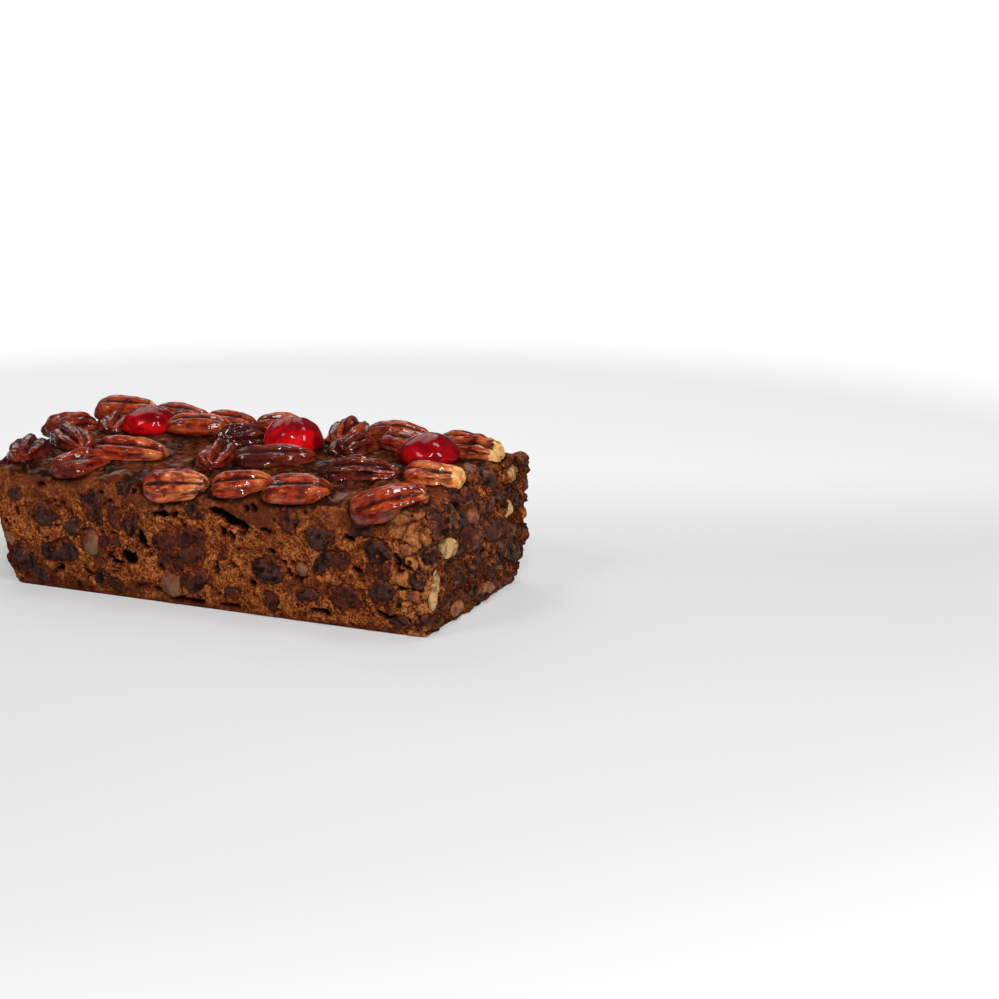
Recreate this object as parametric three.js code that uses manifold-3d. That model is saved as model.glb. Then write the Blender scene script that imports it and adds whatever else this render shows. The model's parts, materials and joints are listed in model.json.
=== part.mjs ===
// Fruit cake loaf, cut at one end, with glazed pecan halves and cherries pressed into its top.
// Millimetres, +Z up. +X runs along the loaf towards the cut end, and the long front side faces -Y.
// The cake is one solid whose sides carry the fruit, nuts and holes that show. Each topping is its own solid.

import * as THREE from "three";
import { mergeVertices } from "three/addons/utils/BufferGeometryUtils.js";
import Module from "manifold-3d";

const wasm = await Module();
wasm.setup();

// Driving dimensions of the cake.
const baseLength = 180;
const baseWidth = 85;
const sideHeight = 48.3; // where the long sides meet the top
const crown = 1.8; // how far the middle of the top stands above its long edges
const backRise = 1.3; // the back edge is higher than the middle by this, the front edge lower
const sideFlare = 3.5; // the tin is wider at its rim, by this on each long side
const endFlare = 9; // and by this at the baked end
const cutLean = 2; // the knife left the cut face leaning out by this at the top
const topRound = 5;
const cornerRound = 4;
const bottomRound = 2.5;
const gridStep = 5.7; // side of a surface cell

// Relief of the surface.
const crumbRelief = 0.55; // baked sides
const topRelief = 0.7;
const cutRelief = 1.7; // the torn face
const reliefSize = 9; // width of a typical bump

// Toppings: a typical pecan half and glacé cherry.
const pecanLength = 27;
const pecanWidth = 16;
const pecanHeight = 10;
const cherryWidth = 24;
const cherryHeight = 17;
const sunk = 1.6; // how deep a topping sits in the top
const gap = 0.3; // kept between touching solids
const cutProud = 1.2; // how far a sliced topping stands out of the cut face

const degrees = Math.PI / 180;
const halfLength = baseLength / 2;
const halfWidth = baseWidth / 2;

// One seeded generator for everything that is scattered, so that each run gives the same cake.
function seededRandom(seed) {
  let state = seed;
  return (low = 0, high = 1) => {
    state = (state + 0x6d2b79f5) | 0;
    let t = Math.imul(state ^ (state >>> 15), 1 | state);
    t = (t + Math.imul(t ^ (t >>> 7), 61 | t)) ^ t;
    return low + ((t ^ (t >>> 14)) >>> 0) / 4294967296 * (high - low);
  };
}

// A repeatable value from 0 to 1 for a whole-numbered lattice point.
function latticeValue(x, y, z) {
  let h = Math.imul(x, 374761393) ^ Math.imul(y, 668265263) ^ Math.imul(z, 1274126177);
  h = Math.imul(h ^ (h >>> 13), 1103515245);
  return ((h ^ (h >>> 16)) >>> 0) / 4294967295;
}

// Smooth noise from -1 to 1 with bumps about one unit wide.
function noise(x, y, z) {
  const cell = [x, y, z].map(Math.floor);
  const blend = [x, y, z].map((v, i) => THREE.MathUtils.smoothstep(v - cell[i], 0, 1));
  let sum = 0;
  for (let corner = 0; corner < 8; corner++) {
    const step = [corner & 1, (corner >> 1) & 1, (corner >> 2) & 1];
    const weight = step.reduce((w, s, i) => w * (s ? blend[i] : 1 - blend[i]), 1);
    sum += weight * latticeValue(cell[0] + step[0], cell[1] + step[1], cell[2] + step[2]);
  }
  return 2 * sum - 1;
}

// Height of the top over a point of the plan: crowned, a little lumpy, higher at the back, sagging
// at the front edge near the middle and rising towards the cut.
function topHeight(x, y) {
  const across = THREE.MathUtils.clamp(y / (halfWidth + sideFlare), -1, 1);
  const lumps = topRelief * noise(x / 17, y / 17, 4.2);
  const sag = -2.5 * Math.exp(-((x + 8) ** 2 / 500 + (y + halfWidth) ** 2 / 160));
  const rise = 1.5 * THREE.MathUtils.smoothstep(x, 30, 85);
  return sideHeight + crown * (1 - across * across) + backRise * across + lumps + sag + rise;
}

// How far the sides stand out from the base at a share of the height.
function flareAt(side, share) {
  return side * THREE.MathUtils.clamp(share, 0, 1);
}

// three.js geometry to a closed solid, in the frame of the matrix.
function solidOf(geometry, matrix = new THREE.Matrix4()) {
  const bare = geometry.clone();
  bare.deleteAttribute("normal");
  bare.deleteAttribute("uv");
  bare.applyMatrix4(matrix);
  const merged = mergeVertices(bare, 1e-3);
  return new wasm.Manifold(
    new wasm.Mesh({
      numProp: 3,
      vertProperties: new Float32Array(merged.attributes.position.array),
      triVerts: new Uint32Array(merged.index.array),
    }),
  );
}

function geometryOf(solid) {
  const mesh = solid.getMesh();
  const geometry = new THREE.BufferGeometry();
  geometry.setAttribute("position", new THREE.BufferAttribute(mesh.vertProperties, 3));
  geometry.setIndex(new THREE.BufferAttribute(mesh.triVerts, 1));
  geometry.computeVertexNormals();
  return geometry;
}

function placed(position, turn, roll = 0, pitch = 0) {
  const turned = new THREE.Euler(roll * degrees, pitch * degrees, turn * degrees, "ZYX");
  const quaternion = new THREE.Quaternion().setFromEuler(turned);
  return new THREE.Matrix4().compose(position, quaternion, new THREE.Vector3(1, 1, 1));
}

// The loaf as the tin and the knife left it: a gridded box whose edges are rounded off, whose
// sides flare and whose top is crowned, with crumb relief everywhere but on the flat base.
function loafBody() {
  const cells = [baseLength, baseWidth, sideHeight].map((side) => Math.round(side / gridStep));
  const box = new THREE.BoxGeometry(2, 2, 2, ...cells);
  const point = new THREE.Vector3();
  const place = box.attributes.position;
  for (let i = 0; i < place.count; i++) {
    place.setXYZ(i, ...loafPoint(point.fromBufferAttribute(place, i)));
  }
  return solidOf(box);
}

// Where a point of the two-unit cube lies on the loaf.
function loafPoint(unit) {
  const height = (unit.z + 1) / 2;
  const round = THREE.MathUtils.lerp(bottomRound, topRound, height);
  const inX = halfLength - cornerRound;
  const inY = halfWidth - cornerRound;
  const flat = new THREE.Vector3(unit.x * halfLength, unit.y * halfWidth, height * sideHeight);
  const core = new THREE.Vector3(
    THREE.MathUtils.clamp(flat.x, -inX, inX),
    THREE.MathUtils.clamp(flat.y, -inY, inY),
    THREE.MathUtils.clamp(flat.z, bottomRound, sideHeight - topRound),
  );
  const outward = flat.clone().sub(core);
  const reach = new THREE.Vector3(cornerRound, cornerRound, round);
  const spread = outward.clone().divide(reach);
  if (spread.length() > 1e-6) {
    const most = Math.max(Math.abs(spread.x), Math.abs(spread.y), Math.abs(spread.z));
    outward.multiplyScalar(most / spread.length());
  }
  const p = core.clone().add(outward);
  const share = p.z / sideHeight;
  const end = unit.x < 0 ? flareAt(endFlare, share) : flareAt(cutLean, share);
  p.x += (p.x / halfLength) * end;
  p.y += (p.y / halfWidth) * flareAt(sideFlare, share);
  p.z += share ** 2 * (topHeight(p.x, p.y) - sideHeight);

  const cut = THREE.MathUtils.smoothstep(unit.x, 0.96, 1);
  const depth = THREE.MathUtils.lerp(crumbRelief, cutRelief, cut);
  const scale = THREE.MathUtils.lerp(reliefSize, reliefSize * 0.7, cut);
  const bump = depth * noise(p.x / scale, p.y / scale, p.z / scale);
  const onSide = THREE.MathUtils.smoothstep(p.z, 0, 4) * (unit.z < 1 ? 1 : 0.4);
  const way = new THREE.Vector3(unit.x ** 7, unit.y ** 7, 0);
  p.addScaledVector(way, bump * onSide);
  if (unit.z === -1) p.z = 0;
  return p.toArray();
}

// A lump of dried fruit or nut: a coarse ball, with its thickness along Y and a seeded wobble.
function lumpGeometry(long, tall, thick, random) {
  const ball = new THREE.SphereGeometry(0.5, 6, 4);
  const phase = random(0, 50);
  const place = ball.attributes.position;
  const point = new THREE.Vector3();
  for (let i = 0; i < place.count; i++) {
    point.fromBufferAttribute(place, i);
    const wobble = 1 + 0.22 * noise(3 * point.x + phase, 3 * point.y, 3 * point.z);
    point.multiplyScalar(wobble).multiply(new THREE.Vector3(long, thick, tall));
    place.setXYZ(i, ...point.toArray());
  }
  return ball;
}

// The upright faces of the loaf, each with the way it faces and a map from its own two
// coordinates, along and up, to the surface.
const faces = {
  front: { turn: 0, reach: halfLength - 6, at: (s, h) => [s, -halfWidth - flareAt(sideFlare, h)] },
  back: { turn: 180, reach: halfLength - 6, at: (s, h) => [s, halfWidth + flareAt(sideFlare, h)] },
  baked: { turn: -90, reach: halfWidth - 6, at: (s, h) => [-halfLength - flareAt(endFlare, h), s] },
  cut: { turn: 90, reach: halfWidth - 5, at: (s, h) => [halfLength + flareAt(cutLean, h), s] },
};

// Fruit and nuts that show on the two near faces, and holes where crumb fell out of them. Along and
// up are in millimetres on the face, and lean tips the long way of a piece down to the right.
const showing = {
  front: {
    fruit: [
      { along: -66, up: 16, long: 16, tall: 9 },
      { along: -71, up: 31, long: 9, tall: 8 },
      { along: -82, up: 13, long: 8, tall: 8 },
      { along: -50, up: 34, long: 8, tall: 13 },
      { along: -52, up: 20, long: 8, tall: 11 },
      { along: -13, up: 24, long: 20, tall: 14 },
      { along: -6, up: 11, long: 10, tall: 10 },
      { along: -17, up: 8, long: 8, tall: 9 },
      { along: 26, up: 19, long: 12, tall: 9 },
      { along: 36, up: 38, long: 8, tall: 10 },
      { along: 49, up: 34, long: 12, tall: 8 },
      { along: 55, up: 25, long: 8, tall: 8 },
      { along: 71, up: 29, long: 10, tall: 15 },
      { along: 72, up: 14, long: 8, tall: 10 },
      { along: 57, up: 12, long: 15, tall: 8 },
    ],
    holes: [
      { along: 11, up: 36, long: 15, tall: 5, lean: 24 },
      { along: -17, up: 37, long: 11, tall: 3 },
      { along: -28, up: 25, long: 4, tall: 5 },
      { along: -34, up: 17, long: 6, tall: 4 },
      { along: -31, up: 32, long: 3, tall: 10 },
      { along: 7, up: 25, long: 4, tall: 10 },
    ],
  },
  cut: {
    fruit: [
      { along: -29, up: 31, long: 9, tall: 6 },
      { along: -37, up: 17, long: 6, tall: 15 },
      { along: 27, up: 33, long: 10, tall: 8 },
      { along: 31, up: 43, long: 12, tall: 6 },
      { along: -25, up: 41, long: 11, tall: 8 },
      { along: 5, up: 42, long: 18, tall: 9 },
      { along: -6, up: 30, long: 8, tall: 8 },
    ],
    holes: [{ along: -15, up: 35, long: 5, tall: 8 }],
  },
  back: { fruit: [], holes: [] },
  baked: { fruit: [], holes: [] },
};

// More of the same is scattered where nothing is given above, without crowding.
const scatter = {
  front: { fruit: 4, holes: 2, proud: 1 },
  back: { fruit: 14, holes: 4, proud: 1 },
  baked: { fruit: 7, holes: 2, proud: 1 },
  cut: { fruit: 9, holes: 3, proud: 1.6 },
};
const buried = 2.2; // from the face to the middle of a piece of fruit
const holeDepth = 1.9;

function fruitAndHoles(random) {
  const found = { fruit: [], holes: [] };
  for (const [face, { proud, ...counts }] of Object.entries(scatter)) {
    const { turn, reach, at } = faces[face];
    const way = new THREE.Vector3(Math.sin(turn * degrees), -Math.cos(turn * degrees), 0);
    const taken = Object.values(showing[face]).flat();
    for (const kind of ["fruit", "holes"]) {
      const spots = [...showing[face][kind], ...freeSpots(random, kind, counts[kind], reach, taken)];
      for (const { along, up, long, tall, lean = 0 } of spots) {
        const [x, y] = at(along, up / sideHeight);
        const inward = kind === "fruit" ? buried : 0;
        const thick = kind === "fruit" ? 2 * (proud + buried) : 2 * holeDepth;
        const centre = new THREE.Vector3(x, y, up).addScaledVector(way, -inward);
        const lump = lumpGeometry(1.15 * long, 1.15 * tall, thick, random).rotateY(lean * degrees);
        found[kind].push(solidOf(lump, placed(centre, turn)));
      }
    }
  }
  return found;
}

// Seeded places on a face, each far enough from those taken already. One that finds no room in
// many tries is left out.
function freeSpots(random, kind, count, reach, taken) {
  const spots = [];
  for (let tries = 0; tries < 60 * count && spots.length < count; tries++) {
    const long = kind === "fruit" ? random(8, 15) : random(4, 7);
    const spot = { along: random(-reach, reach), up: random(8, sideHeight - 9), long };
    spot.tall = kind === "fruit" ? random(6, 10) : random(3, 4.5);
    spot.lean = random(-50, 50);
    const clear = (t) => Math.hypot(t.along - spot.along, t.up - spot.up) > 0.45 * (t.long + long) + 1;
    if (!taken.every(clear)) continue;
    taken.push(spot);
    spots.push(spot);
  }
  return spots;
}

function cakeSolid() {
  const { fruit, holes } = fruitAndHoles(seededRandom(11));
  const below = new THREE.BoxGeometry(3 * baseLength, 3 * baseWidth, 20);
  const floor = solidOf(below, new THREE.Matrix4().makeTranslation(0, 0, -10));
  const lumpy = fruit.reduce((whole, piece) => whole.add(piece), loafBody());
  return largestPiece(holes.reduce((whole, hole) => whole.subtract(hole), lumpy).subtract(floor));
}

// Outline of a pecan half seen end on, as a radius round the long axis: two lobes and a middle
// ridge over the back, parted by two grooves, and a flat underside.
const ridgeAt = 90; // degrees round the long axis, 0 and 180 being the rims
const grooveOff = 30;
const pecanRim = [0, 30, 48, 61, 76, 104, 119, 132, 150, 180, 270];

function pecanOutline(angle, groove) {
  const off = Math.abs(angle - ridgeAt);
  const dip = Math.exp(-(((off - grooveOff) / 9) ** 2)) * groove;
  const overBack = angle <= 180 ? 1 : 0;
  return 1 - overBack * dip;
}

// A pecan half, its long axis along X, its flat side down at z = 0. Bend lifts or drops its tips.
function pecanGeometry({ long = 1, wide = 1, high = 1, groove = 0.17, bend = 1 }) {
  const rings = 7;
  const nut = new THREE.SphereGeometry(1, pecanRim.length, rings);
  const place = nut.attributes.position;
  const columns = pecanRim.length + 1;
  const length = pecanLength * long;
  const width = pecanWidth * wide;
  const height = pecanHeight * high;
  for (let i = 0; i < place.count; i++) {
    const ring = Math.floor(i / columns);
    const rim = pecanRim[(i % columns) % pecanRim.length];
    const along = Math.cos((ring / rings) * Math.PI);
    const girth = Math.sin((ring / rings) * Math.PI) ** 0.65 * (1 - 0.1 * along);
    const radius = girth * pecanOutline(rim, groove);
    const y = (width / 2) * radius * Math.cos(rim * degrees);
    const lift = Math.sin(rim * degrees);
    const z = lift > 0 ? height * radius * lift * 0.8 : height * 0.2 * girth * lift;
    place.setXYZ(i, (length / 2) * along, y, z + 0.2 * height - bend * along * along);
  }
  return nut;
}

// A glacé cherry, slumped a little: flatter than a ball, widest low down.
function cherryGeometry({ wide = 1, high = 1 }) {
  const fruit = new THREE.SphereGeometry(0.5, 12, 7);
  fruit.rotateX(90 * degrees);
  const place = fruit.attributes.position;
  for (let i = 0; i < place.count; i++) {
    const z = place.getZ(i);
    const slump = 1 + 0.16 * (0.25 - (z + 0.2) ** 2);
    const across = cherryWidth * wide * slump;
    place.setXYZ(i, place.getX(i) * across, place.getY(i) * across * 0.94, (z + 0.4) * cherryHeight * high);
  }
  return fruit;
}

// Where the toppings lie, in millimetres from the middle of the base, and how they are turned:
// turn is seen from above, roll tips one over its long axis, and pitch lifts its far tip.
const pecanPlaces = [
  // along the front edge
  { x: -58, y: -38, turn: 58, roll: 4, pitch: 4, long: 0.86, wide: 0.95 },
  { x: -14, y: -40, turn: 14, roll: 28, up: -0.5, long: 0.98 },
  { x: 12.5, y: -37, turn: 22, roll: 12, long: 0.88 },
  { x: 36.5, y: -38.5, turn: 16, roll: 14, long: 0.97, wide: 1.06 },
  { x: 74.5, y: -39, turn: 24, roll: 30, pitch: -14, up: -1, long: 1.06 },
  // second row
  { x: -88.5, y: -29.5, turn: 112, roll: 0, long: 0.92 },
  { x: -79.5, y: -11.5, turn: -36, roll: 6, up: 1, long: 1.02 },
  { x: -47.5, y: -18.5, turn: 6, roll: 10, up: 1, long: 1.12, wide: 1.08 },
  { x: -13, y: -13.5, turn: 108, roll: 0, long: 0.96, wide: 0.95 },
  { x: 10, y: -8, turn: 30, roll: 12, long: 1.16, wide: 0.9 },
  { x: 51, y: -15.5, turn: 12, roll: 10, up: 0.5, long: 1.06, wide: 1.05 },
  { x: 79, y: -13, turn: 14, roll: 10, long: 0.84, wide: 1.06 },
  // third row
  { x: -95, y: 10, turn: 56, roll: 0, long: 0.92, wide: 0.94 },
  { x: -79, y: 17.5, turn: 112, roll: 0, long: 0.84, wide: 0.84 },
  { x: -41, y: 20, turn: 22, roll: -10, up: 1.6, long: 0.98, wide: 0.9 },
  { x: -16.5, y: 14.5, turn: 46, roll: 0, up: 1.5, long: 0.9, wide: 0.94 },
  { x: 29.5, y: 19.5, turn: 84, roll: 0, up: 0.6, long: 0.92, wide: 1 },
  { x: 46.5, y: 29, turn: -10, roll: 0, long: 0.84, wide: 0.8 },
  { x: 77.5, y: 27.5, turn: 8, roll: 0, up: 0.6, long: 0.78, wide: 1 },
  // along the back edge
  { x: -87.5, y: 38.5, turn: 18, roll: 0, up: 1.4, long: 0.96 },
  { x: -61.5, y: 40, turn: 8, roll: -8, up: 1, long: 0.92 },
  { x: -37.5, y: 38.5, turn: 4, roll: -8, up: 0.6, long: 0.88 },
  { x: -13.5, y: 40, turn: 14, roll: -8, up: 0.6, long: 0.84 },
  { x: 16, y: 38.5, turn: 98, roll: 0, up: 2.2, long: 0.94, wide: 1.04 },
  { x: 37, y: 42, turn: 12, roll: -10, up: 1, long: 0.96 },
  { x: 66, y: 40.5, turn: 16, roll: -10, up: -0.8, long: 0.84 },
];

const cherryPlaces = [
  { x: -63, y: 18, turn: 20, wide: 0.98, high: 0.84 },
  { x: 6.5, y: 12, turn: 0, wide: 1, high: 1 },
  { x: 64.5, y: 13, turn: 30, wide: 1.06, high: 0.8 },
];

function toppingMatrix({ x, y, turn, roll = 0, pitch = 0, up = 0 }) {
  const position = new THREE.Vector3(x, y, topHeight(x, y) - sunk + up);
  return placed(position, turn, roll, pitch);
}

const materials = {
  cake: new THREE.MeshStandardMaterial({ color: 0x6b3413, roughness: 0.8, metalness: 0 }),
  pecan: new THREE.MeshStandardMaterial({ color: 0x7a2c10, roughness: 0.25, metalness: 0 }),
  cherry: new THREE.MeshStandardMaterial({ color: 0x9c0610, roughness: 0.12, metalness: 0 }),
};

const cake = cakeSolid();
const settled = []; // toppings already in place, in the loaf's own frame

// What lies beyond the knife's cut, which sliced toppings lose.
function beyondCut() {
  const lean = Math.atan2(cutLean, sideHeight) / degrees;
  const block = new THREE.BoxGeometry(60, 3 * baseWidth, 3 * sideHeight);
  block.translate(30, 0, 0);
  return solidOf(block, placed(new THREE.Vector3(halfLength + cutProud, 0, 0), 0, 0, lean));
}

const waste = beyondCut();

// Fits a topping to the cake and to its neighbours, each kept clear by the gap, and returns it as
// a mesh that holds its own place and turn.
function topping(name, geometry, place, material) {
  const matrix = toppingMatrix(place);
  const up = new THREE.Vector3(0, 0, 1).transformDirection(matrix);
  const ways = [up, new THREE.Vector3(0, Math.sign(place.y), 1)];
  let solid = solidOf(geometry, matrix).subtract(waste);
  for (const way of ways) {
    solid = solid.subtract(cake.translate(way.multiplyScalar(gap).toArray()));
  }
  for (const neighbour of settled) {
    if (neighbour.minGap(solid, gap) < gap) solid = solid.subtract(grown(neighbour));
  }
  solid = largestPiece(solid);
  settled.push(solid);
  const mesh = new THREE.Mesh(geometryOf(solid.transform(matrix.clone().invert().toArray())), material);
  matrix.decompose(mesh.position, mesh.quaternion, mesh.scale);
  mesh.name = name;
  return mesh;
}

// A solid swollen about its middle by the gap on every side.
function grown(solid) {
  const { min, max } = solid.boundingBox();
  const middle = min.map((v, i) => (v + max[i]) / 2);
  const scale = min.map((v, i) => 1 + (2.4 * gap) / (max[i] - v));
  return solid.translate(middle.map((v) => -v)).scale(scale).translate(middle);
}

function largestPiece(solid) {
  return solid.decompose().reduce((best, piece) => (piece.volume() > best.volume() ? piece : best));
}

function numbered(kind, index) {
  return `${kind}_${String(index + 1).padStart(2, "0")}`;
}

// The loaf stands on the floor, with the origin under the middle of its box.
const loaf = new THREE.Group();
const cakeMesh = new THREE.Mesh(geometryOf(cake), materials.cake);
cakeMesh.name = "cake";
loaf.add(cakeMesh);
const cherries = new THREE.Group();
cherryPlaces.forEach((place, i) =>
  cherries.add(topping(numbered("cherry", i), cherryGeometry(place), place, materials.cherry)),
);
const pecans = new THREE.Group();
pecanPlaces.forEach((place, i) =>
  pecans.add(topping(numbered("pecan_half", i), pecanGeometry(place), place, materials.pecan)),
);
loaf.add(cherries, pecans);

loaf.updateMatrixWorld(true);
const box = new THREE.Box3().setFromObject(loaf, true);
const middle = box.getCenter(new THREE.Vector3());
loaf.position.set(-middle.x, -middle.y, -box.min.z);

export default loaf;
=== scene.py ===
"""A fruit cake loaf, cut at one end and topped with glazed pecan halves and cherries, for a studio
picture. Metres, with +Z up; the loaf runs along X and its cut end faces +X."""

import json
import math
import random
from contextlib import contextmanager

import bmesh
import bpy
import numpy as np
from bpy.props import FloatProperty, FloatVectorProperty, IntProperty, PointerProperty
from mathutils import Matrix, Vector
from mathutils.bvhtree import BVHTree

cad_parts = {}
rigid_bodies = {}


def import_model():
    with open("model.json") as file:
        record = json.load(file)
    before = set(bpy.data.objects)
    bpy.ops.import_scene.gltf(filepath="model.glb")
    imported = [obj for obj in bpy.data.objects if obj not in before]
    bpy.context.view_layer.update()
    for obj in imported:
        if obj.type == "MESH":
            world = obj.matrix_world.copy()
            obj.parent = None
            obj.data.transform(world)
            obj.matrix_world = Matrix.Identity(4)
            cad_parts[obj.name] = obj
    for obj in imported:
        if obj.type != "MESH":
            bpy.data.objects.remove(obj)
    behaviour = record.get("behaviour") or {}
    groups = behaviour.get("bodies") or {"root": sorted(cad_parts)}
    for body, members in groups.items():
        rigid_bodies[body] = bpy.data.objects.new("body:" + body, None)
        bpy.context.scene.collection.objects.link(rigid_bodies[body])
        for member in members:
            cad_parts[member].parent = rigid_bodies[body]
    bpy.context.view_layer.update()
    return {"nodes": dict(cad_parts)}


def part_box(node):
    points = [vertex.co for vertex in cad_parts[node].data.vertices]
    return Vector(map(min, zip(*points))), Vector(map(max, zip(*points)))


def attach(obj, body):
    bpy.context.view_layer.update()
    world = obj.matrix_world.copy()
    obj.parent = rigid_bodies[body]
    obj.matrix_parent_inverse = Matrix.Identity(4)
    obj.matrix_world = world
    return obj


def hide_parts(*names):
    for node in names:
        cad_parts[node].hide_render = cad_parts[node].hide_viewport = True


bl_info = {
    "name": "Fruit cake loaf",
    "version": (1, 0, 0),
    "blender": (4, 5, 0),
    "location": "View3D > Sidebar > Loaf",
    "description": "Crumb, fruit, nuts, cherries and glaze of a cut fruit cake",
    "category": "Object",
}

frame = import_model()
MM = 0.001
SENSOR = 36.0  # width of the camera's frame in millimetres


# Settings that a user would change.


def length(name, description, default):
    return FloatProperty(
        name=name, description=description, default=default * MM, min=0.0, unit="LENGTH", precision=5
    )


def colour(name, description, default):
    return FloatVectorProperty(
        name=name, description=description, default=default, min=0.0, max=1.0, size=3, subtype="COLOR"
    )


def share(name, description, default):
    return FloatProperty(
        name=name, description=description, default=default, min=0.0, max=1.0, subtype="FACTOR"
    )


class LOAF_PG_crumb(bpy.types.PropertyGroup):
    seed: IntProperty(name="Seed", description="Another lay of the small air holes", default=4)
    holes: IntProperty(name="Small holes", description="Small air holes on all sides", default=260, min=0)
    cell: length("Cell", "Side of the crumb surface's faces", 0.73)
    uneven: length("Unevenness", "How far the sides swell and sink", 1.2)
    grain: length("Grain", "Width of a grain of crumb", 1.1)
    clump: length("Clump height", "How far clumps of crumb stand out", 1.0)
    hole: length("Hole depth", "Depth of the air holes", 3.2)
    tear: length("Tear", "How rough the knife left the cut face", 2.8)
    lip: length("Lip", "How far the crumb stands over the rim of a piece of fruit", 0.55)
    meniscus: length("Glaze rise", "How far the glaze climbs a nut or cherry", 1.1)
    light: colour("Light crumb", "Crumb where the knife or tin broke it open", (0.6, 0.2, 0.052))
    middle: colour("Crumb", "Most of the crumb", (0.27, 0.06, 0.014))
    # This colour is also painted along the bottom edge, as painted shade on a bottom crust baked darker.
    dark: colour("Moist crumb", "Smooth moist patches", (0.09, 0.018, 0.008))
    broken: colour("Broken crumb", "Dry lumps at the corner of the cut", (0.52, 0.19, 0.062))
    # Painted shade: the inside of holes and pores, the rims round the bared fruit and the folds of dried
    # fruit.
    hollow_shade: colour("Hollows", "Inside of holes", (0.008, 0.003, 0.002))
    # Painted shade: the crust right beside a nut or cherry.
    topping_shade: colour("Under a topping", "Crust right beside a nut or cherry", (0.01, 0.003, 0.0015))
    sliced: colour("Cut crumb", "Dense crumb and fruit across the cut", (0.03, 0.007, 0.005))
    torn: colour("Torn crumb", "Its drier, lighter parts", (0.27, 0.09, 0.032))
    crust: colour("Crust", "Syrupy crust under the top edge", (0.14, 0.03, 0.012))
    glaze: colour("Glazed top", "Top crust under its glaze", (0.02, 0.005, 0.003))
    syrup: colour("Syrup", "Where the glaze pools thick", (0.11, 0.022, 0.006))


class LOAF_PG_fruit(bpy.types.PropertyGroup):
    seed: IntProperty(name="Seed", description="Another lay of the scattered fruit", default=5)
    raisin: colour("Raisin", "Dark dried grape", (0.014, 0.004, 0.003))
    # Painted sheen: the grey on a raisin's ridges.
    raisin_ridge_sheen: colour("Raisin bloom", "Grey of its dry ridges", (0.075, 0.034, 0.027))
    date: colour("Date", "Purple-brown flesh", (0.032, 0.008, 0.006))
    date_flesh: colour("Date flesh", "Its lighter parts", (0.1, 0.026, 0.014))
    nut: colour("Nut", "Nut baked in the crust", (0.15, 0.072, 0.028))
    nut_meat: colour("Nut meat", "Where the knife bared a nut", (0.5, 0.3, 0.11))
    peel: colour("Candied fruit", "Amber candied fruit", (0.3, 0.085, 0.016))
    peel_deep: colour("Deep candied fruit", "Its darker parts", (0.1, 0.02, 0.008))


class LOAF_PG_pecan(bpy.types.PropertyGroup):
    wrinkle: length("Wrinkle", "Height of the wrinkles on the ridges", 0.75)
    dark: colour("Dark skin", "Skin soaked dark red with syrup", (0.045, 0.003, 0.002))
    skin: colour("Skin", "Usual skin", (0.3, 0.026, 0.004))
    # Also painted as light towards one end of each nut.
    pale: colour("Pale skin", "Skin rubbed or broken through", (0.62, 0.19, 0.05))
    # Painted shade: the bottom of the grooves.
    furrow: colour("Furrows", "Bottom of the grooves", (0.012, 0.002, 0.001))
    meat: colour("Meat", "Where a nut is broken", (0.62, 0.38, 0.14))


class LOAF_PG_cherry(bpy.types.PropertyGroup):
    dent: length("Dent", "Depth of the soft dents", 1.5)
    red: colour("Red", "Flesh lit from behind", (0.6, 0.003, 0.005))
    deep: colour("Deep red", "Flesh in its own shade", (0.13, 0.001, 0.003))


class LOAF_PG_stage(bpy.types.PropertyGroup):
    floor: colour("Floor", "Pale floor", (0.36, 0.36, 0.36))
    near: colour("Near glow", "What the paper adds close by", (0.29, 0.29, 0.29))
    far: colour("Far glow", "What the paper adds far off", (0.97, 0.97, 0.97))
    fill: share("Fill", "Strength of the even light", 0.08)
    focal: FloatProperty(
        name="Focal length", description="Lens for that frame", default=79.3, subtype="DISTANCE_CAMERA"
    )
    turn: FloatProperty(
        name="Turn", description="Camera's turn from the front", default=math.radians(23.85), subtype="ANGLE"
    )
    tilt: FloatProperty(
        name="Tilt", description="Camera's tilt down", default=math.radians(14.19), subtype="ANGLE"
    )
    place: FloatVectorProperty(
        name="Place",
        description="Where the camera stands",
        default=(0.423, -0.7197, 0.2419),
        subtype="TRANSLATION",
    )


# Work in object and edit mode.


def deselect():
    """Leaves nothing selected, so that the next operator acts on its own piece alone."""
    for obj in list(bpy.context.selected_objects):
        obj.select_set(False)


def take(obj, *others):
    """Makes obj active and selects it and the others alone."""
    deselect()
    for each in (obj, *others):
        each.select_set(True)
    bpy.context.view_layer.objects.active = obj
    return obj


def modify(obj, kind, **settings):
    """Adds a modifier and applies it."""
    take(obj)
    modifier = obj.modifiers.new(kind.title(), kind)
    for name, value in settings.items():
        setattr(modifier, name, value)
    bpy.ops.object.modifier_apply(modifier=modifier.name)


@contextmanager
def editing(obj):
    """Edit mode on that object alone."""
    take(obj)
    bpy.ops.object.mode_set(mode="EDIT")
    bpy.ops.mesh.select_mode(type="VERT")
    yield
    bpy.ops.object.mode_set(mode="OBJECT")


def pick(obj, test):
    """Selects the vertices in edit mode that pass the test."""
    mesh = bmesh.from_edit_mesh(obj.data)
    for vertex in mesh.verts:
        vertex.select_set(bool(test(vertex)))
    mesh.select_flush_mode()
    bmesh.update_edit_mesh(obj.data)


def points(obj):
    """The mesh's vertices and their normals, as arrays."""
    count = len(obj.data.vertices)
    found = np.empty(count * 3), np.empty(count * 3)
    obj.data.vertices.foreach_get("co", found[0])
    obj.data.vertices.foreach_get("normal", found[1])
    return found[0].reshape(-1, 3), found[1].reshape(-1, 3)


def ramp(values, low, high):
    """0 at low and 1 at high, turning smoothly; low may be the larger of the two."""
    t = np.clip((values - low) / (high - low), 0.0, 1.0)
    return t * t * (3.0 - 2.0 * t)


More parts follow.
